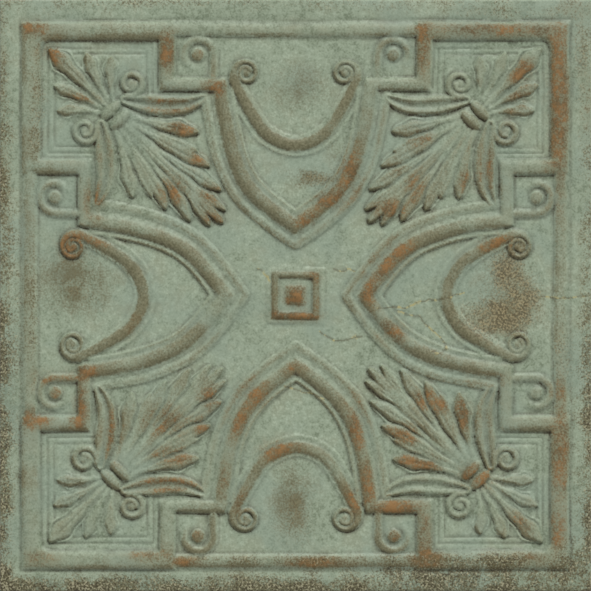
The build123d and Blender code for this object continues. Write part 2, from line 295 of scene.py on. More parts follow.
def frame_relief(aside, out):
    """The stepped frame round the corner block, and the rail between two blocks."""
    turn = np.radians(np.linspace(90, 45, 6))
    centre = BAND_INNER - BAND_CORNER_RADIUS
    corner = centre + BAND_CORNER_RADIUS * np.column_stack([np.cos(turn), np.sin(turn)])
    panel_side = [(STEP_END, STEP_INNER), (BAR_OUTER, STEP_INNER), (BAR_OUTER, BAND_INNER)]
    panel_side = np.vstack([panel_side, corner])
    rail_side = [(STEP_END, STEP_OUTER), (BAR_INNER, STEP_OUTER), (BAR_INNER, BAND_OUTER)]
    rail_side = np.array([*rail_side, (BAND_OUTER, BAND_OUTER)], float)
    to_panel = np.abs(beside(panel_side, aside, out)[0])
    to_rail = np.abs(beside(rail_side, aside, out)[0])
    on_band = (out > BAND_INNER - 4) & (out < BAND_OUTER) & (aside > BAR_INNER)
    on_band &= np.hypot(np.maximum(aside - centre, 0), np.maximum(out - centre, 0)) > BAND_CORNER_RADIUS
    on_bar = (aside > BAR_INNER) & (aside < BAR_OUTER) & (out > STEP_INNER) & (out < BAND_OUTER)
    on_step = (out > STEP_INNER) & (out < STEP_OUTER) & (aside > STEP_END) & (aside < BAR_OUTER)
    across = 2 * to_panel / np.maximum(to_panel + to_rail, 1e-6) - 1
    inside = on_band | on_bar | on_step
    relief = np.where(inside, roll(across, 1.0, BAND_HEIGHT, 2.8), 0.0)
    middle = (RAIL_INNER + RAIL_OUTER) / 2
    rail = roll(out - middle, (RAIL_OUTER - RAIL_INNER) / 2, RAIL_HEIGHT, 2.4)
    return np.maximum(relief, np.where(aside < BAR_INNER + 4, rail, 0.0))


def arch_section(off, share):
    """Roll, with a flat strip inside it and a strip with a fine bead outside."""
    strip = ARCH_STRIP_HEIGHT * smooth(ARCH_OUTSIDE + STRIP_EDGE, ARCH_OUTSIDE - STRIP_EDGE, off)
    strip *= smooth(-ARCH_INSIDE - STRIP_EDGE, -ARCH_INSIDE + STRIP_EDGE, off)
    bead = ARCH_BEAD_HEIGHT * ridge(off - ARCH_OUTER_BEAD, 1.4)
    strip += bead - ARCH_GROOVE_DEPTH * ridge(off - ARCH_GROOVE, 1.4)
    strip += ARCH_BEAD_HEIGHT * ridge(off + ARCH_INNER_BEAD, 1.2)
    strip *= smooth(0.0, 0.03, share)
    return np.maximum(strip, roll(off, ARCH_ROLL_HALF, ARCH_ROLL_HEIGHT))


def scroll_section(off, share):
    """Roll that thins towards the volute, on a low strip."""
    half = SCROLL_FOOT_HALF + (SCROLL_END_HALF - SCROLL_FOOT_HALF) * smooth(0.25, 1.0, share)
    outer = -half - SCROLL_STRIP
    strip = SCROLL_STRIP_HEIGHT * smooth(outer - STRIP_EDGE, outer + STRIP_EDGE, off)
    strip *= smooth(half + 2.6, half + 1.2, off)
    strip -= SCROLL_GROOVE_DEPTH * ridge(off + half + 0.6, 1.1)
    strip *= smooth(1.0, 0.9, share)
    return np.maximum(strip, roll(off, half, SCROLL_HEIGHT, 2.5))


def raise_eye(relief, plan, centre, radius, height):
    """A round button with a dimple round its middle."""
    gap = np.hypot(plan[0] - centre[0], plan[1] - centre[1])
    button = roll(gap, radius, height, 4.0) - 0.3 * ridge(gap - radius * 0.45, 1.2)
    relief[:] = np.maximum(relief, np.where(gap < radius, button, 0.0))


def raise_volutes(relief, plan):
    """The scroll's volute and the curl that stands on the step."""
    volute = spiral(VOLUTE_CENTRE, VOLUTE_START, VOLUTE_TURN, VOLUTE_RADIUS, VOLUTE_INNER)

    def volute_section(off, share):
        half = VOLUTE_HALF + VOLUTE_ROOT_SWELL * smooth(0.3, 0.0, share)
        return roll(off, half, VOLUTE_HEIGHT * (1.0 - 0.2 * share))

    raise_along(relief, plan, volute, 8, volute_section)
    raise_eye(relief, plan, VOLUTE_CENTRE, VOLUTE_EYE, EYE_HEIGHT)
    curl = spiral(CURL_CENTRE, CURL_START, -CURL_TURN, CURL_RADIUS, CURL_INNER)
    riser = np.array([[CURL_CENTRE[0] - CURL_RADIUS, STEP_OUTER - 2]])

    def curl_section(off, share):
        half = CURL_HALF - CURL_THINNING * share
        return roll(off, half, CURL_HEIGHT * smooth(1.0, 0.6, share))

    raise_along(relief, plan, np.vstack([riser, curl]), 8, curl_section)
    raise_eye(relief, plan, CURL_CENTRE, CURL_EYE, EYE_HEIGHT)


def raise_boss(relief, out):
    """Square plinth, square frame and a blunt point."""
    plinth = BOSS_PLINTH_HEIGHT * smooth(BOSS_PLINTH_HALF + 0.7, BOSS_PLINTH_HALF - 0.7, out)
    rim = roll(out - BOSS_FRAME_LINE, BOSS_FRAME_HALF, BOSS_FRAME_HEIGHT, 1.8)
    point = BOSS_POINT_HEIGHT * np.clip(1.0 - (out / BOSS_POINT_HALF) ** 1.6, 0.0, 1.0)
    relief[:] = np.maximum.reduce([relief, plinth, rim, point])


def raise_spray(relief, plan):
    """The leaf spray: main leaf, side leaves, volutes, tail lobes and the knot that ties them."""
    towards, aside = plan
    for root, tip, width, height in SPRAY_WEBS:

        def web_section(off, share):
            return roll(off, width / 2 * pod(share), height, 4.0) * smooth(1.0, 0.85, share)

        raise_along(relief, plan, np.array([root, tip], float), width, web_section)
    for root, tip, bow, width, height in SPRAY_LOBES:
        raise_lobe(relief, plan, root, tip, bow, width, height)

    def leaf_section(off, share):
        opening = np.clip(0.45 + 1.7 * share, 0.0, 1.0)
        half = SIDE_LEAF_HALF * opening * np.sqrt(np.clip(1.0 - share ** 4, 0.0, 1.0))
        spread = off / (half + 0.3)
        folds = ridge(spread - 0.58, 0.3) + ridge(spread + 0.58, 0.3)
        return SIDE_LEAF_HEIGHT * np.clip(1.0 - spread ** 4, 0.0, 1.0) * (0.25 + 0.75 * folds)

    raise_along(relief, plan, flowing(SIDE_LEAF), 12, leaf_section)
    wound = LEAF_VOLUTE_START, LEAF_VOLUTE_TURN, LEAF_VOLUTE_RADIUS, LEAF_VOLUTE_INNER
    volute = spiral(LEAF_VOLUTE_CENTRE, *wound)

    def volute_section(off, share):
        return roll(off, LEAF_VOLUTE_HALF - LEAF_VOLUTE_THINNING * share, LEAF_VOLUTE_HEIGHT)

    raise_along(relief, plan, volute, 6, volute_section)
    raise_eye(relief, plan, LEAF_VOLUTE_CENTRE, LEAF_VOLUTE_EYE, LEAF_VOLUTE_HEIGHT * 0.8)
    for place in (-KNOT_SPACING, KNOT_SPACING):
        swell = ((towards - place) / KNOT_HALF_WIDTH) ** 2 + (aside / KNOT_HALF_LENGTH) ** 2
        relief[:] = np.maximum(relief, KNOT_HEIGHT * np.sqrt(np.clip(1.0 - swell, 0.0, 1.0)))


def face_quarter():
    """Height of one quarter of the face, middle to corner, and where leaf, frame and scroll lie."""
    line = np.linspace(0.0, HALF_SIDE, HALF_CELLS + 1)
    x, y = np.meshgrid(line, line)
    aside, out = np.minimum(x, y), np.maximum(x, y)
    arch_plan = aside, out
    spray_plan = SPRAY_DISTANCE - (aside + out) / math.sqrt(2), (out - aside) / math.sqrt(2)
    relief = np.zeros(x.shape)
    raise_along(relief, arch_plan, flowing(ARCH_CREST), 24, arch_section)
    scroll = np.zeros(x.shape)
    raise_along(scroll, arch_plan, flowing(SCROLL_CREST), 20, scroll_section)
    relief = np.maximum(relief, scroll)
    raise_volutes(relief, arch_plan)
    frame_height = frame_relief(aside, out)
    relief = np.maximum(relief, frame_height)
    spray = np.zeros(x.shape)
    raise_spray(spray, spray_plan)
    relief = np.maximum(relief, spray)
    raise_boss(relief, out)
    in_panel = np.minimum(aside - PANEL_NEAR, PANEL_FAR - out)
    for inset in (0.0, PANEL_LINE_GAP):
        relief -= PANEL_LINE_DEPTH * ridge(in_panel - inset, 1.1) * smooth(1.2, 0.0, relief)
    edge = HALF_SIDE - out
    relief -= MARGIN_FALL * smooth(MARGIN_WIDTH, 0.0, edge)
    relief -= MARGIN_LINE_DEPTH * ridge(edge - MARGIN_LINE, 1.3)
    fall = np.clip(ARRIS_RADIUS - edge, 0.0, ARRIS_RADIUS)
    relief -= ARRIS_RADIUS - np.sqrt(ARRIS_RADIUS ** 2 - fall ** 2)
    return relief, smooth(0.1, 0.6, spray), smooth(0.1, 0.6, frame_height), smooth(1.2, 2.2, scroll)


def blurred(field, radius):
    """The field averaged over a soft spot of this radius in millimetres."""
    cells = radius / SPACING
    reach = int(math.ceil(2.5 * cells))
    weights = np.exp(-0.5 * (np.arange(-reach, reach + 1) / cells) ** 2)
    weights /= weights.sum()
    for axis in (0, 1):
        pad = [(reach, reach) if axis == side else (0, 0) for side in (0, 1)]
        padded = np.pad(field, pad, mode="edge")
        size = field.shape[axis]
        field = sum(
            weight * np.take(padded, range(shift, shift + size), axis=axis)
            for shift, weight in enumerate(weights)
        )
    return field


def blended(grid, row, col, right, above):
    """Values of a grid between its points: right and above are the shares of the next column and row."""
    low = grid[row, col] * (1 - right) + grid[row, col + 1] * right
    high = grid[row + 1, col] * (1 - right) + grid[row + 1, col + 1] * right
    return low * (1 - above) + high * above


def cloud(x, y, cell, seed):
    """Soft random waves, 0 to 1, about one cell in size."""
    lattice = np.random.default_rng(seed).random((int(TILE_SIDE / cell) + 4,) * 2)
    across, up = (x + HALF_SIDE) / cell + 1, (y + HALF_SIDE) / cell + 1
    col, row = np.floor(across).astype(int), np.floor(up).astype(int)
    return blended(lattice, row, col, smooth(0, 1, across - col), smooth(0, 1, up - row))


def sampled(quarter, x, y):
    """The quarter's height at any point of the face, the other three quarters mirrored."""
    scale = HALF_CELLS / HALF_SIDE
    last = HALF_CELLS - 1e-6
    across = np.clip(np.abs(x) * scale, 0, last)
    up = np.clip(np.abs(y) * scale, 0, last)
    col, row = across.astype(int), up.astype(int)
    return blended(quarter, row, col, across - col, up - row)


def blots(x, y, places, growth=1.0):
    """Soft spots: middle across, middle up, half width, half height, strength."""
    field = np.zeros(x.shape)
    for across, up, half_width, half_height, strength in places:
        gap = (((x - across) / half_width) ** 2 + ((y - up) / half_height) ** 2) / growth ** 2
        field = np.maximum(field, strength * np.exp(-0.7 * gap))
    return field


# Rust: middle across, middle up, half width, half height, strength
RUST = (
    (262, 192, 10, 62, 0.85), (-267, 269, 12, 8, 0.9), (-128, 244, 7, 13, 0.95), (-80, 208, 9, 7, 0.8),
    (0, 277, 16, 3, 0.5), (56, 118, 9, 20, 0.9), (36, 96, 14, 8, 0.95), (12, 76, 12, 7, 0.7),
    (-225, 48, 13, 13, 0.95), (-203, 54, 16, 7, 0.6), (-262, -122, 12, 7, 0.95), (-217, -115, 6, 17, 0.95),
    (-215, -77, 14, 6, 0.9), (-250, -80, 10, 8, 0.7), (130, -262, 13, 9, 1.0), (-110, -267, 9, 5, 0.9),
    (100, -211, 20, 8, 0.9), (20, -268, 24, 5, 0.9), (130, -240, 7, 20, 0.6), (0, -1, 11, 10, 1.0),
    (-2, -20, 26, 5, 0.95), (20, 19, 7, 7, 0.7), (-21, -12, 4, 14, 0.4), (22, -10, 4, 12, 0.5),
    (129, -103, 8, 8, 0.85), (145, -111, 7, 8, 0.75), (169, -119, 8, 13, 0.95), (109, -138, 13, 8, 0.8),
    (114, -164, 10, 6, 0.9), (130, -170, 12, 6, 0.9), (173, -178, 9, 9, 0.9), (189, -184, 9, 9, 0.8),
    (191, -122, 6, 16, 0.5), (225, -227, 12, 12, 0.5), (265, -158, 8, 32, 0.75), (259, -236, 9, 16, 0.7),
    (238, -261, 14, 6, 0.6), (266, -95, 10, 10, 0.6), (208, 266, 56, 5, 0.7), (128, 262, 7, 11, 0.8),
    (128, 243, 5, 14, 0.7), (195, 284, 28, 5, 0.6), (280, 286, 16, 8, 0.8), (292, 188, 6, 30, 0.8),
    (104, 47, 12, 10, 0.8), (88, 30, 10, 12, 0.9), (73, 6, 6, 12, 0.95), (96, -37, 11, 10, 0.75),
    (189, -84, 16, 6, 0.6), (200, 53, 14, 7, 0.9), (227, 221, 10, 10, 0.9), (226, 197, 10, 6, 0.8),
    (210, 183, 10, 6, 0.5), (122, 158, 12, 6, 0.7), (103, 127, 9, 6, 0.5), (120, 109, 9, 12, 0.7),
    (95, 86, 11, 8, 0.8), (173, 114, 7, 10, 0.75), (191, 128, 6, 16, 0.85), (168, 154, 12, 12, 0.4),
    (-244, 244, 9, 9, 1.0), (-213, 196, 14, 5, 0.7), (-127, 190, 16, 5, 0.95), (-114, 167, 10, 7, 0.85),
    (-95, 137, 9, 7, 0.7), (-122, 105, 9, 9, 0.95), (-200, 95, 7, 14, 0.8), (-190, 142, 7, 18, 0.5),
    (-84, 102, 8, 8, 0.6), (-81, 77, 12, 6, 0.6), (-129, -189, 22, 6, 0.9), (-183, -137, 7, 18, 0.8),
    (-129, -126, 16, 11, 0.8), (-123, -160, 16, 6, 0.8), (-85, -103, 8, 8, 0.85), (-93, -131, 8, 7, 0.75),
    (-45, -98, 15, 13, 0.75), (-59, -124, 10, 14, 0.75), (-22, -153, 18, 9, 0.85), (-66, -281, 18, 4, 0.8),
    (-146, -258, 16, 5, 0.6), (-161, -34, 9, 14, 0.5), (-293, 225, 4, 30, 0.8), (-293, 115, 5, 40, 0.9),
    (-256, -262, 12, 6, 0.5), (-292, 160, 4, 20, 0.6), (-100, -241, 7, 7, 0.6), (-238, -98, 8, 8, 0.6),
    (99, -241, 6, 6, 0.7), (-97, 240, 6, 6, 0.4), (62, -126, 8, 24, 0.8), (60, -202, 9, 15, 0.8),
    (-2, -73, 10, 6, 0.6), (73, -190, 9, 22, 0.7), (-56, -206, 9, 14, 0.6), (-74, -182, 8, 14, 0.5),
    (-8, -228, 8, 14, 0.8),
)

# Brown stains, in the same order
STAINS = (
    (-220, 12, 34, 30, 1.15), (-212, -4, 24, 16, 1.0), (211, 0, 36, 42, 0.7),
    (4, 206, 30, 24, 0.8), (14, 117, 26, 9, 1.0), (-2, -210, 20, 38, 1.0), (-6, -228, 12, 16, 0.8),
    (40, 145, 10, 14, 0.6), (282, -180, 10, 60, 0.5), (250, -282, 60, 8, 0.6), (120, 70, 40, 20, 0.3),
)

# Gritty speckle, in the same order
SPECKLE = (
    (213, 20, 17, 24, 1.0), (204, -23, 34, 18, 1.1), (230, -6, 16, 26, 0.9), (221, 48, 13, 13, 0.7),
    (266, -60, 12, 40, 0.5), (262, -130, 14, 30, 0.5), (286, 240, 10, 50, 0.6), (-288, 60, 8, 120, 0.5),
    (16, 117, 22, 7, 0.7), (-218, 8, 24, 18, 0.5), (0, -212, 13, 28, 0.55), (-258, 200, 10, 50, 0.5),
)

# Fine cracks in the glaze, as points along each
CRACKS = (
    ((25, -36), (30, -41), (38, -44), (46, -45), (54, -43), (66, -40)),
    ((82, -13), (97, -11), (112, -12), (126, -6), (140, -4), (153, -2), (168, 3)),
    ((102, -15), (112, -19), (122, -20), (129, -27), (138, -36)),
    ((136, -33), (145, -43), (151, -53), (143, -57), (137, -56)),
    ((-12, -91), (0, -94), (10, -97), (20, -99), (29, -104)),
    ((244, -1), (258, -3), (274, -2), (292, -1)),
    ((38, 26), (44, 24), (52, 27), (58, 25)),
    ((-38, 27), (-31, 22), (-26, 15)),
)
CRACK_HALF = 0.75
CRACK_SHAKE = 2.4
CRACK_SHAKE_WAVE = 5

# Dirt along the margin, in the same order
GRIME = (
    (0, -265, 150, 8, 0.65), (180, -264, 120, 9, 0.9),
    (170, -282, 150, 16, 1.0), (282, -275, 30, 30, 0.9), (-120, -286, 150, 10, 0.8),
    (285, -140, 14, 120, 0.5), (-284, -60, 16, 200, 0.55), (-262, -20, 8, 90, 0.5),
    (-258, 170, 10, 90, 0.6), (-150, 262, 100, 8, 0.4), (-295, 140, 4, 70, 1.0),
    (262, 120, 12, 60, 0.4), (150, -258, 90, 10, 0.6), (210, 285, 80, 10, 0.55), (-180, 284, 120, 8, 0.35),
)


def crack_lines(x, y):
    """How near each point lies to a crack, with the paths shaken a little."""
    shaken = [
        place + CRACK_SHAKE * (cloud(x, y, CRACK_SHAKE_WAVE, seed) - 0.5)
        for place, seed in ((x, 21), (y, 22))
    ]
    field = np.zeros(x.shape)
    for path in CRACKS:
        raise_along(field, shaken, flowing(path), 6, lambda off, share: ridge(off, CRACK_HALF))
    return field


def face_fields():
    """Height, wear and painted shade of the whole face on the grid."""
    line = np.linspace(-HALF_SIDE, HALF_SIDE, CELLS + 1)
    x, y = np.meshgrid(line, line)
    edge = HALF_SIDE - np.maximum(np.abs(x), np.abs(y))
    sway = smooth(0.0, 14.0, edge)
    drift = [DRIFT * sway * (cloud(x, y, DRIFT_WAVE, seed) - 0.5) for seed in (11, 12)]
    moved = x + drift[0], y + drift[1]
    relief, leaf, band, scroll = (sampled(layer, *moved) for layer in face_quarter())
    relief = np.where(edge > 2.0, blurred(relief, 0.55), relief)
    dents = (cloud(x, y, DENT_WAVE, 13) - 0.5) * DENT_DEPTH
    dents += (cloud(x, y, SMALL_DENT_WAVE, 14) - 0.5) * SMALL_DENT_DEPTH
    height = np.minimum(BODY_THICKNESS + relief + dents * sway, TOP_HEIGHT)
    sharp = relief - blurred(relief, 2.4)
    # Painted shade: flanks that face away from the lamp, towards the bottom and a little to the left of the
    # tile, are marked to be coloured darker
    slope_up, slope_across = np.gradient(blurred(relief, 1.0), SPACING)
    shaded_flank = 0.85 * slope_up + 0.45 * slope_across
    grime = blots(x, y, GRIME) * smooth(60.0, 30.0, edge)
    margin = smooth(26.0, 1.0, edge) * (0.8 - 0.3 * y / HALF_SIDE - 0.1 * x / HALF_SIDE)
    broad = relief - blurred(relief, 9.0)
    crest = smooth(0.5, 2.2, relief) * smooth(-1.0, 0.8, broad)
    return {
        "x": x,
        "y": y,
        "height": height,
        "crest": crest,
        "wear": crest * (1.0 - 0.3 * leaf - 0.35 * band + 0.3 * scroll),
        # Painted shade in the recesses, partly dirt: concave places are marked to be coloured darker
        "recess": smooth(0.04, 0.6, -sharp),
        "shaded_flank": smooth(0.03, 0.4, shaded_flank) * smooth(0.2, 0.8, blurred(relief, 1.5)),
        "rust": blots(x, y, RUST, 1.4),
        "stain": blots(x, y, STAINS),
        "speckle": blots(x, y, SPECKLE),
        "crack": crack_lines(x, y),
        "border": np.maximum(margin, grime),
    }


def pass_up(error, fields, rows, cols, ends, shifts):
    """Error of the grid points: how far each leaves the line between two ends, or its dependants' worst."""
    place = np.ix_(range(len(fields)), rows, cols)
    means = sum(fields[np.ix_(range(len(fields)), rows + up, cols + across)] for up, across in ends) / 2
    worst = np.abs(fields[place] - means).max(axis=0)
    reach = max(abs(shift) for pair in shifts for shift in pair) if shifts else 0
    padded = np.pad(error, reach)
    for up, across in shifts:
        worst = np.maximum(worst, padded[np.ix_(rows + reach + up, cols + reach + across)])
    error[np.ix_(rows, cols)] = worst


def grid_errors(fields):
    """How much is lost by leaving out each grid point, and all the points that need it."""
    error = np.zeros(fields.shape[1:])
    step = 2
    while step <= CELLS:
        half, quarter = step // 2, step // 4
        corners = np.arange(0, CELLS + 1, step)
        middles = np.arange(half, CELLS, step)
        around = [(a, b) for a in (-quarter, quarter) for b in (-quarter, quarter)] if quarter else []
        pass_up(error, fields, corners, middles, ((0, -half), (0, half)), around)
        pass_up(error, fields, middles, corners, ((-half, 0), (half, 0)), around)
        sides = ((0, half), (0, -half), (half, 0), (-half, 0))
        for first_row, first_col in ((0, 0), (0, 1), (1, 0), (1, 1)):
            rows, cols = middles[first_row::2], middles[first_col::2]
            lean = half if first_row == first_col else -half
            if len(rows) and len(cols):
                pass_up(error, fields, rows, cols, ((-half, -lean), (half, lean)), sides)
        step *= 2
    return error


def split_triangles(error, limit):
    """Halves two triangles that cover the grid until each is as flat as the limit asks."""
    low, high = (0, 0), (CELLS, CELLS)
    triangles = np.array([[high, low, (CELLS, 0)], [low, high, (0, CELLS)]])
    done = []
    while len(triangles):
        first, second, apex = triangles[:, 0], triangles[:, 1], triangles[:, 2]
        middle = (first + second) // 2
        whole = np.abs(first - second).max(axis=1) > 1
        split = whole & (error[middle[:, 1], middle[:, 0]] > limit)
        done.append(triangles[~split])
        first, second, apex, middle = (group[split] for group in (first, second, apex, middle))
        triangles = np.concatenate(
            [np.stack([apex, first, middle], axis=1), np.stack([second, apex, middle], axis=1)]
        )
    return np.concatenate(done)


def face_triangles(fields):
    """The face's triangles as grid places, as fine as their number allows."""
    layers = np.stack(
        [fields["height"] * 10, fields["crest"], fields["recess"] * 0.8, fields["rust"], fields["crack"] * 4]
    )
    error = grid_errors(layers)
    limit = FIRST_LIMIT
    triangles = split_triangles(error, limit)
    while len(triangles) > FACE_TRIANGLES:
        limit *= LIMIT_GROWTH
        triangles = split_triangles(error, limit)
    return triangles


def rim_of(places):
    """The face's outermost points in order round the tile, side by side from the south."""
    col, row = places[:, 0], places[:, 1]
    order = []
    for on_side, along in (
        (row == 0, col), (col == CELLS, row), (row == CELLS, -col), (col == 0, -row),
    ):
        side = np.flatnonzero(on_side)
        order.append(side[np.argsort(along[side])])
    return order


def back_faces(points, faces, groups, sides):
    """The slab's edges and its back with the key grooves."""
    ring = np.concatenate([side[:-1] for side in sides])
    count = len(ring)
    lower = len(points) + np.arange(count)
    foot = lower + count
    rim = np.array([points[index] for index in ring])
    points.extend((x, y, FOOT_CHAMFER) for x, y, _ in rim)
    inset = 1.0 - FOOT_CHAMFER / HALF_SIDE
    points.extend((x * inset, y * inset, 0.0) for x, y, _ in rim)
    starts = np.cumsum([0] + [len(side) - 1 for side in sides])
    for group in range(4):
        for place in range(starts[group], starts[group + 1]):
            after = (place + 1) % count
            faces.append((ring[place], lower[place], lower[after], ring[after]))
            faces.append((lower[place], foot[place], foot[after], lower[after]))
            groups.extend([group + 1] * 2)

    reach = HALF_SIDE - KEY_MARGIN
    groove = (2 * reach - (KEY_COUNT - 1) * KEY_LAND) / KEY_COUNT
    south, north = [], []
    for key in range(KEY_COUNT):
        left = -reach + key * (groove + KEY_LAND)
        corner = len(points)
        corners = ((left, -reach), (left + groove, -reach), (left + groove, reach), (left, reach))
        points.extend((x, y, 0.0) for x, y in corners)
        points.extend((x, y, KEY_DEPTH) for x, y in corners)
        faces.append((corner + 7, corner + 6, corner + 5, corner + 4))
        for turn in range(4):
            after = (turn + 1) % 4
            faces.append((corner + turn, corner + 4 + turn, corner + 4 + after, corner + after))
        if key:
            faces.append((south[-1], north[-1], corner + 3, corner))
        groups.extend([BACK] * (6 if key else 5))
        south.extend((corner, corner + 1))
        north.extend((corner + 3, corner + 2))
    inner = (south[::-1], [north[-1], south[-1]], north, [south[0], north[0]])
    for group in range(4):
        outer = [foot[place % count] for place in range(starts[group], starts[group + 1] + 1)]
        faces.append(tuple(reversed(outer + inner[group])))
        groups.append(BACK)


def bake_places(corners, groups):
    """Where each face corner lies on the square map: the face large, edges and back in the margins."""
    x, y = corners[:, 0] / TILE_SIDE + 0.5, corners[:, 1] / TILE_SIDE + 0.5
    up = corners[:, 2] / BODY_THICKNESS
    along = np.where((groups == 1) | (groups == 3), x, y)
    edge_row = MAP_MARGIN + MAP_EDGE_PITCH * (groups - 1) + MAP_EDGE_HEIGHT * up
    across = np.where(groups == MOULDED_FACE, x, along) * MAP_FACE + MAP_GUTTER
    upward = np.where(groups == MOULDED_FACE, y * MAP_FACE + MAP_GUTTER, edge_row)
    across = np.where(groups == BACK, MAP_MARGIN + MAP_BACK_WIDTH * y, across)
    upward = np.where(groups == BACK, x * MAP_FACE + MAP_GUTTER, upward)
    return np.column_stack([across, upward])


def make_tile(fields):
    """The whole tile as one closed mesh with its wear and painted shade stored at the points."""
    triangles = face_triangles(fields)
    flat = triangles[:, :, 1] * (CELLS + 1) + triangles[:, :, 0]
    used, corners = np.unique(flat, return_inverse=True)
    corners = corners.reshape(-1, 3)
    places = np.column_stack([used % (CELLS + 1), used // (CELLS + 1)])
    face_points = np.column_stack([fields[name].ravel()[used] for name in ("x", "y", "height")])
    points = [tuple(point) for point in face_points]
    faces = [tuple(face) for face in corners]
    groups = [MOULDED_FACE] * len(faces)
    back_faces(points, faces, groups, rim_of(places))

    mesh = bpy.data.meshes.new("patterned_tile")
    mesh.from_pydata([tuple(value * MILLIMETRE for value in point) for point in points], [], faces)
    for name in ("crest", "wear", "recess", "shaded_flank", "rust", "stain", "speckle", "crack", "border"):
        values = np.zeros(len(points))
        values[: len(used)] = fields[name].ravel()[used]
        mesh.attributes.new(name, "FLOAT", "POINT").data.foreach_set("value", values)
    glaze = np.zeros(len(points))
    glaze[: len(used)] = 1.0
    mesh.attributes.new("glaze", "FLOAT", "POINT").data.foreach_set("value", glaze)

    corner_points = np.zeros(len(mesh.loops), int)
    mesh.loops.foreach_get("vertex_index", corner_points)
    sizes = np.array([len(face) for face in faces])
    corner_groups = np.repeat(groups, sizes)
    spots = bake_places(np.array(points)[corner_points], corner_groups)
    mesh.uv_layers.new(name="OFBake").data.foreach_set("uv", spots.ravel())

    slope_up, slope_across = np.gradient(fields["height"], SPACING)
    slopes = np.column_stack([-slope_across.ravel()[used], -slope_up.ravel()[used], np.ones(len(used))])
    slopes /= np.linalg.norm(slopes, axis=1)[:, None]
    normals = np.zeros((len(mesh.loops), 3))
    on_face = corner_groups == MOULDED_FACE
    normals[on_face] = slopes[corner_points[on_face]]
    mesh.polygons.foreach_set("use_smooth", np.array(groups) == MOULDED_FACE)
    mesh.normals_split_custom_set(normals)
    mesh.validate()
    tile = bpy.data.objects.new("patterned_tile", mesh)
    bpy.context.scene.collection.objects.link(tile)
    return tile


def paint(red, green, blue):
    """A shader colour from the values that a picture shows."""
    shares = [value / 255 for value in (red, green, blue)]
    linear = [share / 12.92 if share < 0.0405 else ((share + 0.055) / 1.055) ** 2.4 for share in shares]
    return (*linear, 1.0)


class Finish:
    """Builds a material from short calls; each call gives an output to use in the next."""

    def __init__(self, name):
        self.material = bpy.data.materials.new(name)
        self.material.use_nodes = True
        self.tree = self.material.node_tree
        self.shader = self.tree.nodes["Principled BSDF"]
        self.place = self.node("ShaderNodeTexCoord").outputs["Object"]

    def node(self, kind, **settings):
        """A new node with these settings."""
        made = self.tree.nodes.new(kind)
        for name, value in settings.items():
            setattr(made, name, value)
        return made

    def put(self, socket, value):
        """Joins an output to an input, or sets the input to a plain value."""
        if isinstance(value, bpy.types.NodeSocket):
            self.tree.links.new(value, socket)
        else:
            socket.default_value = value

    def stored(self, name):
        """A value that is stored at the mesh's points."""
        return self.node("ShaderNodeAttribute", attribute_name=name).outputs["Fac"]

    def noise(self, size, detail=2.0, seed=0.0):
        """Grain about this many millimetres across, spread over 0 to 1."""
        made = self.node("ShaderNodeTexNoise", noise_dimensions="4D")
        self.put(made.inputs["Vector"], self.place)
        self.put(made.inputs["W"], seed)
        self.put(made.inputs["Scale"], 1.0 / (size * MILLIMETRE))
        self.put(made.inputs["Detail"], detail)
        return self.between(made.outputs["Fac"], 0.28, 0.72)

    def between(self, value, low, high):
        """Rises from 0 at low to 1 at high with soft ends."""
        made = self.node("ShaderNodeMapRange", interpolation_type="SMOOTHSTEP")
        self.put(made.inputs["Value"], value)
        self.put(made.inputs["From Min"], low)
        self.put(made.inputs["From Max"], high)
        return made.outputs["Result"]

    def sums(self, operation, first, second):
        """One sum of two values."""
        made = self.node("ShaderNodeMath", operation=operation)
        self.put(made.inputs[0], first)
        self.put(made.inputs[1], second)
        return made.outputs[0]

    def times(self, first, second):
        return self.sums("MULTIPLY", first, second)

    def plus(self, first, second):
        return self.sums("ADD", first, second)

    def grains(self, amount, grain, softness=0.4):
        """Where this amount of the grain shows: nowhere at 0, everywhere at 1, in soft specks between."""
        swollen = self.plus(grain, self.times(amount, 1.0 + 2 * softness))
        return self.between(swollen, 1.0, 1.0 + 2 * softness)

    def mix(self, share, first, second):
        """The first colour at 0, the second at 1."""
        made = self.node("ShaderNodeMix", data_type="RGBA")
        self.put(made.inputs["Factor"], share)
        self.put(made.inputs["A"], first)
        self.put(made.inputs["B"], second)
        return made.outputs["Result"]


# Colours of the glaze, its wear, dirt and rust, of painted shade, of the fired clay and of the floor
GREEN = paint(147, 160, 137)
GREEN_LIGHT = paint(172, 186, 163)
GREEN_DEEP = paint(112, 124, 101)
GREEN_COOL = paint(138, 155, 139)
OLIVE = paint(96, 88, 58)
DUN = paint(126, 118, 86)
# Taupe serves both the worn crests and the painted shade on flanks away from the lamp
TAUPE = paint(92, 89, 62)
TAUPE_LIGHT = paint(126, 123, 95)
TAN = paint(164, 150, 112)
GRIT = paint(80, 68, 44)
# Umber serves both the margin dirt and the painted shade in the recesses
UMBER = paint(58, 51, 34)
RUST_BROWN = paint(90, 75, 47)
RUST_ORANGE = paint(142, 104, 60)
CREAM = paint(182, 178, 146)
OCHRE = paint(172, 162, 108)
BISCUIT = paint(196, 180, 154)
BISCUIT_DARK = paint(168, 148, 120)
FLOOR_COLOUR = paint(226, 224, 218)

# Depth of the grain in the glaze, in millimetres
GRAIN_DEPTH = 0.12


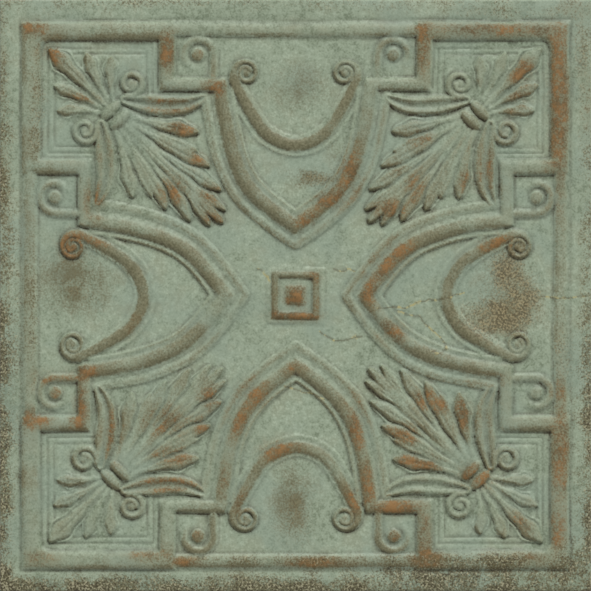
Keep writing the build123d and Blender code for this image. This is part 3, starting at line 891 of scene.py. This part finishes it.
def glazed_finish():
    """Matt verdigris glaze, worn to brown on the crests, with rust, dirt, speckle, cracks and painted shade
    in the recesses and on the flanks away from the lamp.
    """
    finish = Finish("worn_verdigris_glaze")
    noise, stored, between, grains = finish.noise, finish.stored, finish.between, finish.grains
    times, plus, mix = finish.times, finish.plus, finish.mix
    speck, dust = noise(2.0, 3, 1), noise(1.8, 3, 5)
    fleck, patch, wash = noise(4.5, 3, 2), noise(20, 4, 3), noise(90, 3, 4)
    crest, wear, recess = stored("crest"), stored("wear"), stored("recess")
    shaded_flank, rust = stored("shaded_flank"), stored("rust")
    stain, speckle = stored("stain"), stored("speckle")
    crack, border = stored("crack"), stored("border")

    # Deep, middle and light green in soft clouds, cooler or browner in places
    cloudy = plus(times(wash, 0.2), times(patch, 0.2))
    tone = plus(cloudy, plus(times(speck, 0.3), times(fleck, 0.3)))
    colour = mix(between(tone, 0.1, 0.55), GREEN_DEEP, GREEN)
    colour = mix(between(tone, 0.5, 0.95), colour, GREEN_LIGHT)
    cool = between(noise(60, 3, 8), 0.4, 0.9)
    colour = mix(times(cool, 0.4), colour, GREEN_COOL)
    haze = between(plus(times(patch, 0.6), times(wash, 0.4)), 0.5, 1.0)
    colour = mix(times(haze, 0.24), colour, DUN)

    # Crests worn brown, and brown painted shade on the flanks that face away from the lamp
    patchy = plus(0.3, plus(times(patch, 0.3), times(between(wash, 0.25, 0.7), 0.5)))
    worn_and_shaded = times(plus(times(wear, 0.66), times(shaded_flank, 0.64)), patchy)
    brown = mix(speck, TAUPE, TAUPE_LIGHT)
    colour = mix(times(wear, plus(0.12, times(patch, 0.44))), colour, TAUPE_LIGHT)
    colour = mix(times(grains(worn_and_shaded, dust, 1.0), 0.9), colour, brown)

    # Stains and gritty speckle
    hazed = times(stain, plus(0.45, times(patch, 0.5)))
    colour = mix(times(grains(hazed, dust, 1.2), 0.8), colour, OLIVE)
    gritty = grains(times(speckle, plus(0.55, times(noise(12, 4, 7), 0.5))), dust, 0.8)
    grit = mix(between(speck, 0.28, 0.92), GRIT, TAN)
    colour = mix(times(between(speckle, 0.3, 1.0), 0.5), colour, DUN)
    colour = mix(times(gritty, 0.72), colour, mix(times(fleck, 0.4), grit, RUST_BROWN))

    # Rust, brown at its edges and orange in streaks, thickest on the crests
    clinging = times(rust, plus(0.5, times(crest, 0.8)))
    rusting = times(clinging, plus(0.5, times(fleck, 0.6)))
    colour = mix(times(between(rusting, 0.05, 0.6), 0.5), colour, DUN)
    rusted = between(plus(rusting, times(dust, 0.4)), 0.4, 1.15)
    streaky = plus(times(patch, 0.5), times(speck, 0.3))
    flaking = between(plus(streaky, times(rusting, 0.4)), 0.4, 1.05)
    colour = mix(times(rusted, 0.88), colour, mix(flaking, RUST_BROWN, RUST_ORANGE))

    # Cracks, dark or pale along their way
    crazed = times(crack, plus(0.5, times(fleck, 0.5)))
    colour = mix(crazed, colour, mix(between(fleck, 0.45, 0.75), GRIT, OCHRE))

    # Dirt along the margin, and umber in the recesses: painted shade, darkest on the flanks away from the
    # lamp, with some dirt
    grubby = times(border, plus(0.35, times(patch, 0.6)))
    colour = mix(times(grains(grubby, dust, 0.5), 0.85), colour, OLIVE)
    colour = mix(times(grains(times(grubby, 0.6), speck, 0.25), 0.8), colour, UMBER)
    colour = mix(times(grains(times(grubby, 0.45), noise(1.9, 2, 9), 0.2), 0.6), colour, CREAM)
    shade_and_dirt = times(recess, plus(times(shaded_flank, 0.8), plus(0.25, times(patch, 0.5))))
    colour = mix(times(shade_and_dirt, plus(0.6, times(dust, 0.4))), colour, UMBER)

    # Fired clay on the edges and back
    glazed = between(plus(stored("glaze"), times(fleck, 0.3)), 0.62, 0.7)
    body = mix(speck, BISCUIT_DARK, BISCUIT)
    finish.put(finish.shader.inputs["Base Color"], mix(glazed, body, colour))
    finish.put(finish.shader.inputs["Roughness"], plus(0.5, times(plus(rusted, times(crest, 0.3)), 0.22)))
    bump = finish.node("ShaderNodeBump")
    finish.put(bump.inputs["Height"], plus(times(speck, 0.5), plus(fleck, times(rusted, -0.8))))
    finish.put(bump.inputs["Distance"], GRAIN_DEPTH * MILLIMETRE)
    finish.put(bump.inputs["Strength"], 0.6)
    finish.put(finish.shader.inputs["Normal"], bump.outputs["Normal"])
    finish.put(finish.shader.inputs["Specular IOR Level"], 0.3)
    return finish.material


# Floor in metres, a hair below the back
FLOOR_SIDE = 24.0
FLOOR_DROP = 0.0002


def plain_floor():
    """Pale, matt floor under the tile."""
    bpy.ops.mesh.primitive_plane_add(size=FLOOR_SIDE, location=(0.0, 0.0, -FLOOR_DROP))
    floor = bpy.context.object
    floor.name = "floor"
    finish = Finish("pale_floor")
    finish.put(finish.shader.inputs["Base Color"], FLOOR_COLOUR)
    finish.put(finish.shader.inputs["Roughness"], 0.9)
    floor.data.materials.append(finish.material)


# Light from the top of the picture and a little from the right, low enough to show the relief
SUN_SIDE = 14.0
SUN_RISE = 40.0
SUN_STRENGTH = 2.45
SUN_SPREAD = 20.0
SKY_STRENGTH = 0.46


def studio_light():
    """One soft key lamp and an even sky."""
    lamp = bpy.data.lights.new("key_lamp", "SUN")
    lamp.energy = SUN_STRENGTH
    lamp.angle = math.radians(SUN_SPREAD)
    key = bpy.data.objects.new("key_lamp", lamp)
    side, rise = math.radians(SUN_SIDE), math.radians(SUN_RISE)
    towards = Vector((-math.sin(side) * math.cos(rise), -math.cos(side) * math.cos(rise), -math.sin(rise)))
    key.rotation_mode = "QUATERNION"
    key.rotation_quaternion = towards.to_track_quat("-Z", "Y")
    key.location = -towards * 2
    bpy.context.scene.collection.objects.link(key)
    world = bpy.data.worlds.new("even_sky")
    world.use_nodes = True
    sky = world.node_tree.nodes["Background"]
    sky.inputs["Color"].default_value = (1.0, 1.0, 1.0, 1.0)
    sky.inputs["Strength"].default_value = SKY_STRENGTH
    bpy.context.scene.world = world


# Long lens straight above, the tile filling the square picture
LENS = 200.0
SENSOR = 36.0
PICTURE_SIDE = 0.5912


def overhead_camera():
    """Camera over the tile's middle, the picture's top towards +Y."""
    data = bpy.data.cameras.new("camera")
    data.lens = LENS
    data.sensor_width = SENSOR
    camera = bpy.data.objects.new("camera", data)
    camera.location = (0.0, 0.0, BODY_THICKNESS * MILLIMETRE + PICTURE_SIDE * LENS / SENSOR)
    bpy.context.scene.collection.objects.link(camera)
    bpy.context.scene.camera = camera


overhead_camera()
studio_light()
plain_floor()
tile = make_tile(face_fields())
tile.data.materials.append(glazed_finish())
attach(tile, "root")
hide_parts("tile")
bpy.context.scene.view_settings.view_transform = "Standard"
